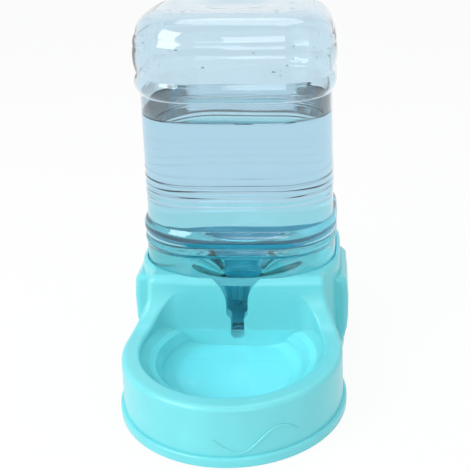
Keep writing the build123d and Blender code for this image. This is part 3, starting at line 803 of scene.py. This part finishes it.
class DRINKER_OT_tray(bpy.types.Operator):
    """Moulded turquoise plastic on the tray, with a smooth drape at the hopper's front, and rubber feet"""

    bl_idname = "drinker.tray"
    bl_label = "Finish tray and feet"

    def execute(self, context):
        tray = grained(
            "Turquoise moulding", settings().tray_colour, roughness=0.30, mottle=0.03, bump=0.03,
            grain=700.0, subsurface=0.25, coat=0.15)
        dress("base_tray", tray)
        skin = reshaped("tray_skin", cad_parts["base_tray"], drape_shift)
        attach(skin, "base")
        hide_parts("base_tray")
        dress("rubber_feet", grained("Foot rubber", (0.05, 0.055, 0.06), roughness=0.6, **RUBBER_GRAIN))
        return {"FINISHED"}


class DRINKER_OT_valve(bpy.types.Operator):
    """Cap, gasket, stem, seal, foot and spring of the valve"""

    bl_idname = "drinker.valve"
    bl_label = "Finish valve"

    def execute(self, context):
        dress("valve_cap", grained(
            "Cap plastic", (0.12, 0.60, 0.65), roughness=0.4, mottle=0.05, bump=0.05, grain=900.0))
        dress("cap_gasket", grained("Gasket rubber", SEAL_COLOUR, roughness=0.55, **RUBBER_GRAIN))
        dress("valve_seal", grained("Seal rubber", SEAL_COLOUR, roughness=0.55, **RUBBER_GRAIN))
        stem = grained(
            "Stem plastic", (0.42, 0.78, 0.81), roughness=0.35, mottle=0.04, bump=0.03, grain=900.0)
        dress("valve_stem", stem)
        dress("stem_foot", stem)
        steel, shader = new_material("Spring steel")
        shader.inputs["Base Color"].default_value = (0.62, 0.63, 0.64, 1)
        shader.inputs["Metallic"].default_value = 1.0
        shader.inputs["Roughness"].default_value = 0.28
        dress("valve_spring", steel)
        return {"FINISHED"}


class DRINKER_OT_bottle(bpy.types.Operator):
    """Clear ribbed bottle, upside down, with a wall, a neck and a dished top"""

    bl_idname = "drinker.bottle"
    bl_label = "Build bottle"

    def execute(self, context):
        line = graded(outer_line(), RING_STEP, 0.13)
        inner = inner_line(BOTTLE_WALL)
        outer_rings = [
            foot_of_bottle(NECK_RADIUS, 0.0, line[0, 0], NECK_END_Z),
            side_rings(line, OUTER_WAVE), dome_of_bottle(*line[-1])]
        inner_rings = [
            foot_of_bottle(NECK_RADIUS - NECK_WALL, BOTTLE_WALL, inner[0, 0], NECK_END_Z),
            side_rings(inner, INNER_WAVE), dome_of_bottle(*inner[-1])]
        outer_all = np.concatenate(outer_rings)
        inner_all = np.concatenate(inner_rings)[::-1]
        rings = np.concatenate([inner_all, outer_all])
        top_in = [0, RESERVOIR_Y, float(inner_all[0, :, 2].mean())]
        top_out = [0, RESERVOIR_Y, float(outer_all[-1, :, 2].mean())]
        bottle = ringed("clear_bottle", rings, top_in, top_out)
        # The teal foot colour is painted: the tray seen through the bottle from the waist down
        bottle.data.materials.append(clear(
            "Clear bottle plastic", settings().bottle_colour, PLASTIC_IOR, roughness=0.012,
            painted_tray_tint=(0.60, 0.90, 0.93)))
        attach(bottle, "reservoir")
        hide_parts("reservoir_bottle")
        return {"FINISHED"}


class DRINKER_OT_bottle_water(bpy.types.Operator):
    """Water in the bottle with a curved edge where it climbs the wall"""

    bl_idname = "drinker.bottle_water"
    bl_label = "Fill bottle"

    def execute(self, context):
        level = settings().water_level
        climb = settings().meniscus
        wall = BOTTLE_WALL - WATER_IN_WALL
        inner = inner_line(wall)
        wet = inner[inner[:, 1] < level + climb]
        foot = foot_of_bottle(NECK_RADIUS - NECK_WALL + WATER_IN_WALL, wall, wet[0, 0], WATER_END_Z)
        steps = 16
        out, height = water_edge(wet[-1, 0], level, climb, BOTTLE_EDGE, steps)
        edge = stacked(out, height, np.zeros(steps), np.zeros(steps))
        rings = np.concatenate([foot, side_rings(wet, INNER_WAVE), edge, flat_rings(out[-1], level, 11)])
        water = ringed("bottle_water", rings, [0, RESERVOIR_Y, WATER_END_Z], [0, RESERVOIR_Y, level])
        # The teal foot colour is painted: the tray seen through the water from the waist down
        water.data.materials.append(clear(
            "Bottle water", settings().water_colour, WATER_IOR, painted_tray_tint=(0.52, 0.90, 0.93)))
        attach(water, "reservoir")
        return {"FINISHED"}


class DRINKER_OT_bowl_water(bpy.types.Operator):
    """Water in the bowl and in the hopper's well, at one level"""

    bl_idname = "drinker.bowl_water"
    bl_label = "Fill bowl"

    def execute(self, context):
        level = settings().bowl_level
        climb = settings().meniscus * BOWL_CLIMB
        angle = np.linspace(0, 2 * math.pi, 360, endpoint=False)
        wall = dish_line()
        wet = wall[wall[:, 1] < level + climb]
        rim_r, rim_z = water_edge(wet[-1, 0], level, climb, BOWL_EDGE, 12)
        middle = np.linspace(rim_r[-1], POLE_RADIUS, 14)[1:]
        radius = np.concatenate([wet[:, 0], rim_r, middle])
        height = np.concatenate([wet[:, 1], rim_z, np.full(len(middle), level)])
        inset = np.maximum(wet[-1, 0] - radius, 0)
        inset[: len(wet)] = 0
        limit = d_reach(angle)[None, :] - inset[:, None]
        ring_r = np.minimum(radius[:, None], np.maximum(limit, POLE_RADIUS)) + WATER_IN_WALL
        rings = np.empty((len(radius), len(angle), 3))
        rings[..., 0] = ring_r * np.cos(angle)
        rings[..., 1] = BOWL_Y + ring_r * np.sin(angle)
        rings[..., 2] = height[:, None]
        water = ringed("bowl_water", rings, [0, BOWL_Y, float(height[0])], [0, BOWL_Y, level])
        material = clear("Bowl water", (0.90, 0.97, 0.99), WATER_IOR, roughness=0.06)
        for piece in (water, self.well(level), self.notch(level)):
            piece.data.materials.append(material)
            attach(piece, "base")
        return {"FINISHED"}

    def well(self, level):
        """Water in the hopper's well: the waist outline drawn in, from the floor up to the level."""
        steps = 9
        height = np.concatenate([[WELL_FLOOR], np.linspace(WELL_FLOOR, level, steps - 1)])
        out = np.full(steps, WELL_OUT + WATER_IN_WALL)
        out[0] -= WELL_ROUND
        side = stacked(out, height, np.zeros(steps), np.zeros(steps))
        rings = np.concatenate([side, flat_rings(out[-1], level, 11)])
        return ringed("well_water", rings, [0, RESERVOIR_Y, WELL_FLOOR], [0, RESERVOIR_Y, level])

    def notch(self, level):
        """Water in the notch: a half round channel with a flat top, carried from bowl to well."""
        turn = np.linspace(math.pi, 2 * math.pi, 17)
        half = NOTCH_HALF + WATER_IN_WALL
        across = np.concatenate([half * np.cos(turn), [half, half / 3, -half / 3, -half]])
        up = np.concatenate([NOTCH_FOOT + half * np.sin(turn), np.full(4, level)])
        along = np.linspace(WALL_Y - NOTCH_LAP, WALL_Y + NOTCH_DEPTH + NOTCH_LAP, 6)
        rings = np.empty((len(along), len(across), 3))
        rings[..., 0] = across[::-1]
        rings[..., 1] = along[:, None]
        rings[..., 2] = up[::-1]
        middle = (NOTCH_FOOT + level) / 2
        return ringed("notch_water", rings, [0, float(along[0]), middle], [0, float(along[-1]), middle])


class DRINKER_OT_drops(bpy.types.Operator):
    """Drops on the inside of the bottle above the water"""

    bl_idname = "drinker.drops"
    bl_label = "Add drops"

    def execute(self, context):
        count = settings().drop_count
        rng = np.random.default_rng(7)
        points, normals = bowed_outline(WAIST_HALF_X, WAIST_HALF_Y, SIDE_BOW, CORNER_RADIUS)
        at = rng.integers(0, len(points), count)
        size = DROP_LEAST + DROP_SPREAD * rng.random(count) ** 2
        on_top = rng.random(count) < DROPS_ON_TOP
        out = np.where(on_top, CROWN_OUT, GROOVE_OUT - BOTTLE_WALL - DROP_SINK * size)
        scale = np.where(on_top, rng.uniform(DROP_INSET, 1.0, count), 1.0)
        centre = np.empty((count, 3))
        centre[:, :2] = (points[at] + out[:, None] * normals[at]) * scale[:, None]
        centre[:, 1] += RESERVOIR_Y
        centre[:, 2] = np.where(
            on_top, TOP_Z - BOTTLE_WALL - DROP_SINK * size, rng.uniform(DROP_LOW_Z, DROP_HIGH_Z, count))
        steps, sides = 6, 10
        tilt = np.linspace(0, math.pi, steps + 2)[1:-1]
        turn = np.linspace(0, 2 * math.pi, sides, endpoint=False)
        ball = np.stack([
            np.sin(tilt)[:, None] * np.cos(turn), np.sin(tilt)[:, None] * np.sin(turn),
            np.repeat(np.cos(tilt)[:, None], sides, 1)], -1).reshape(-1, 3)
        ball = np.concatenate([ball, [[0, 0, 1], [0, 0, -1]]])
        j = np.arange(sides)
        after = (j + 1) % sides
        row = np.arange(steps - 1)[:, None] * sides
        quads = np.stack([row + j, row + sides + j, row + sides + after, row + after], -1).reshape(-1, 4)
        top, low = steps * sides, steps * sides + 1
        caps = np.concatenate([
            np.stack([j, after, np.full(sides, top)], 1),
            np.stack([(steps - 1) * sides + after, (steps - 1) * sides + j, np.full(sides, low)], 1)])
        vertices = (centre[:, None] + size[:, None, None] * ball[None]).reshape(-1, 3)
        shift = np.arange(count)[:, None, None] * len(ball)
        faces = (quads[None] + shift).reshape(-1, 4).tolist() + (caps[None] + shift).reshape(-1, 3).tolist()
        drops = put_mesh("bottle_drops", vertices, faces)
        drops.data.materials.append(clear("Drop water", (1, 1, 1), WATER_IOR))
        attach(drops, "reservoir")
        return {"FINISHED"}


class DRINKER_OT_wave(bpy.types.Operator):
    """Raised wave line on the front of the bowl"""

    bl_idname = "drinker.wave"
    bl_label = "Add wave line"

    def execute(self, context):
        t = np.linspace(-1, 1, 140)
        angle = np.radians(WAVE_TURN + WAVE_SPREAD * t)
        height = WAVE_Z + WAVE_RISE * np.sin(1.15 * math.pi * (t - 0.05)) + WAVE_LEAN * t
        lean = SKIRT_RADIUS - (height - SKIRT_FOOT_Z) * math.tan(math.radians(SKIRT_TAPER))
        path = np.stack([lean * np.sin(angle), BOWL_Y - lean * np.cos(angle), height], 1)
        normal = np.stack([np.sin(angle), -np.cos(angle), np.zeros_like(angle)], 1)
        radius = WAVE_RADIUS * np.clip((1 - np.abs(t)) * 12, 0.05, 1)
        wave = tube("wave_line", path, normal, radius)
        wave.data.materials.append(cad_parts["base_tray"].data.materials[0])
        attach(wave, "base")
        return {"FINISHED"}


class DRINKER_OT_stage(bpy.types.Operator):
    """Pale floor and backdrop, soft lamps, world and camera"""

    bl_idname = "drinker.stage"
    bl_label = "Set stage"

    def execute(self, context):
        scene = context.scene
        scene.view_settings.view_transform = "Standard"
        self.floor()
        self.world(scene)
        for lamp in LAMPS:
            area_lamp(*lamp)
        self.camera(scene)
        return {"FINISHED"}

    def floor(self):
        """A pale floor that glows where it is seen directly, so that it runs into the backdrop."""
        t = np.linspace(-FLOOR_HALF, FLOOR_HALF, 3)
        x, y = np.meshgrid(t, t)
        vertices = np.stack([x.ravel(), y.ravel(), np.full(9, FLOOR_Z)], 1)
        i = np.array([0, 1, 3, 4])
        quads = np.stack([i, i + 1, i + 4, i + 3], 1)
        floor = put_mesh("studio_floor", vertices, quads.tolist())
        material, shader = new_material("Studio floor")
        nodes, links = material.node_tree.nodes, material.node_tree.links
        shader.inputs["Base Color"].default_value = (0.9, 0.9, 0.9, 1)
        shader.inputs["Roughness"].default_value = 0.8
        shader.inputs["Specular IOR Level"].default_value = 0.1
        glow = nodes.new("ShaderNodeEmission")
        glow.inputs["Strength"].default_value = 1.0
        seen = seen_directly(nodes, links)
        part = nodes.new("ShaderNodeMath")
        part.operation = "MULTIPLY"
        part.inputs[1].default_value = FLOOR_GLOW
        links.new(seen, part.inputs[0])
        mix = nodes.new("ShaderNodeMixShader")
        links.new(part.outputs[0], mix.inputs["Fac"])
        links.new(shader.outputs["BSDF"], mix.inputs[1])
        links.new(glow.outputs["Emission"], mix.inputs[2])
        output = next(n for n in nodes if n.type == "OUTPUT_MATERIAL")
        links.new(mix.outputs["Shader"], output.inputs["Surface"])
        floor.data.materials.append(material)
        floor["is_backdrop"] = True

    def world(self, scene):
        """Soft cool light all round, and plain white where the world is seen directly."""
        world = bpy.data.worlds.new("Studio world")
        scene.world = world
        world.use_nodes = True
        nodes, links = world.node_tree.nodes, world.node_tree.links
        nodes.clear()
        output = nodes.new("ShaderNodeOutputWorld")
        soft = nodes.new("ShaderNodeBackground")
        soft.inputs["Color"].default_value = (0.90, 0.96, 1.0, 1)
        soft.inputs["Strength"].default_value = WORLD_STRENGTH
        white = nodes.new("ShaderNodeBackground")
        white.inputs["Color"].default_value = (1, 1, 1, 1)
        white.inputs["Strength"].default_value = 1.0
        seen = seen_directly(nodes, links)
        mix = nodes.new("ShaderNodeMixShader")
        links.new(seen, mix.inputs["Fac"])
        links.new(soft.outputs["Background"], mix.inputs[1])
        links.new(white.outputs["Background"], mix.inputs[2])
        links.new(mix.outputs["Shader"], output.inputs["Surface"])

    def camera(self, scene):
        """The camera that was fitted to the photograph: turned, tipped down, rolled and shifted."""
        yaw, pitch, roll = np.radians([CAMERA_YAW, CAMERA_PITCH, CAMERA_ROLL])
        forward = np.array([
            math.sin(yaw) * math.cos(pitch), math.cos(yaw) * math.cos(pitch), -math.sin(pitch)])
        level = np.array([math.cos(yaw), -math.sin(yaw), 0.0])
        upright = np.cross(level, forward)
        right = level * math.cos(roll) + upright * math.sin(roll)
        up = upright * math.cos(roll) - level * math.sin(roll)
        data = bpy.data.cameras.new("photo_camera")
        data.sensor_width = 36.0
        data.lens = CAMERA_LENS
        data.shift_x = CAMERA_SHIFT
        data.clip_start = 0.01
        data.dof.use_dof = False
        camera = bpy.data.objects.new("photo_camera", data)
        scene.collection.objects.link(camera)
        rows = np.stack([right, up, -forward], 1)
        camera.matrix_world = Matrix([[*row, at] for row, at in zip(rows, CAMERA_PLACE)] + [[0, 0, 0, 1]])
        scene.camera = camera


class DRINKER_PT_panel(bpy.types.Panel):
    """Lists the drinker's pieces and settings"""

    bl_label = "Drinker"
    bl_idname = "DRINKER_PT_panel"
    bl_space_type = "VIEW_3D"
    bl_region_type = "UI"
    bl_category = "Drinker"

    def draw(self, context):
        layout = self.layout
        chosen = context.scene.drinker
        for name in DrinkerSettings.__annotations__:
            layout.prop(chosen, name)
        for operator in OPERATORS:
            layout.operator(operator.bl_idname)


OPERATORS = (
    DRINKER_OT_tray,
    DRINKER_OT_valve,
    DRINKER_OT_bottle,
    DRINKER_OT_bottle_water,
    DRINKER_OT_bowl_water,
    DRINKER_OT_drops,
    DRINKER_OT_wave,
    DRINKER_OT_stage,
)
CLASSES = (DrinkerSettings, *OPERATORS, DRINKER_PT_panel)


def register():
    for cls in CLASSES:
        bpy.utils.register_class(cls)
    bpy.types.Scene.drinker = PointerProperty(type=DrinkerSettings)


def unregister():
    del bpy.types.Scene.drinker
    for cls in reversed(CLASSES):
        bpy.utils.unregister_class(cls)


def main():
    register()
    bpy.ops.drinker.tray()
    bpy.ops.drinker.valve()
    bpy.ops.drinker.bottle()
    bpy.ops.drinker.bottle_water()
    bpy.ops.drinker.bowl_water()
    bpy.ops.drinker.drops()
    bpy.ops.drinker.wave()
    bpy.ops.drinker.stage()


if __name__ == "__main__":
    main()
